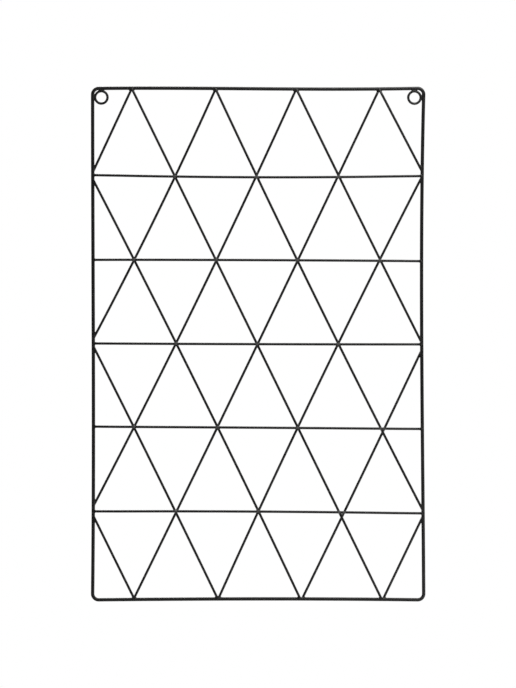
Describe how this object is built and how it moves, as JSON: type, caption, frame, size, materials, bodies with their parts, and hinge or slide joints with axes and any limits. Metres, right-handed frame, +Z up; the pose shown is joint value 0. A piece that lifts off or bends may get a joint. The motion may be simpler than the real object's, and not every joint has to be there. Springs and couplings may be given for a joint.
{
  "type": "wire grid memo board",
  "caption": "Upright wire memo board: a bent round-rod frame filled with a field of triangles, welded from level and slanting wires, with a hanging ring in each top corner.",
  "frame": {"origin": "midway between the highest points of the two hanging rings' holes, where the wall nails carry the board, in the middle plane of the frame rod", "axes": "+X to the right seen from the front, +Y towards the wall behind, +Z up"},
  "size_m": [0.3998, 0.0096, 0.6157],
  "materials": {
    "black_coat": "satin black powder coat with a fine texture"
  },
  "bodies": {
    "root": {"frame_rod": "black_coat", "level_wire_1": "black_coat", "level_wire_2": "black_coat", "level_wire_3": "black_coat", "level_wire_4": "black_coat", "level_wire_5": "black_coat", "falling_wire_1": "black_coat", "falling_wire_2": "black_coat", "falling_wire_3": "black_coat", "falling_wire_4": "black_coat", "falling_wire_5": "black_coat", "falling_wire_6": "black_coat", "falling_wire_7": "black_coat", "rising_wire_1": "black_coat", "rising_wire_2": "black_coat", "rising_wire_3": "black_coat", "rising_wire_4": "black_coat", "rising_wire_5": "black_coat", "rising_wire_6": "black_coat", "rising_wire_7": "black_coat", "hanging_ring_left": "black_coat", "hanging_ring_right": "black_coat"}
  },
  "joints": []
}
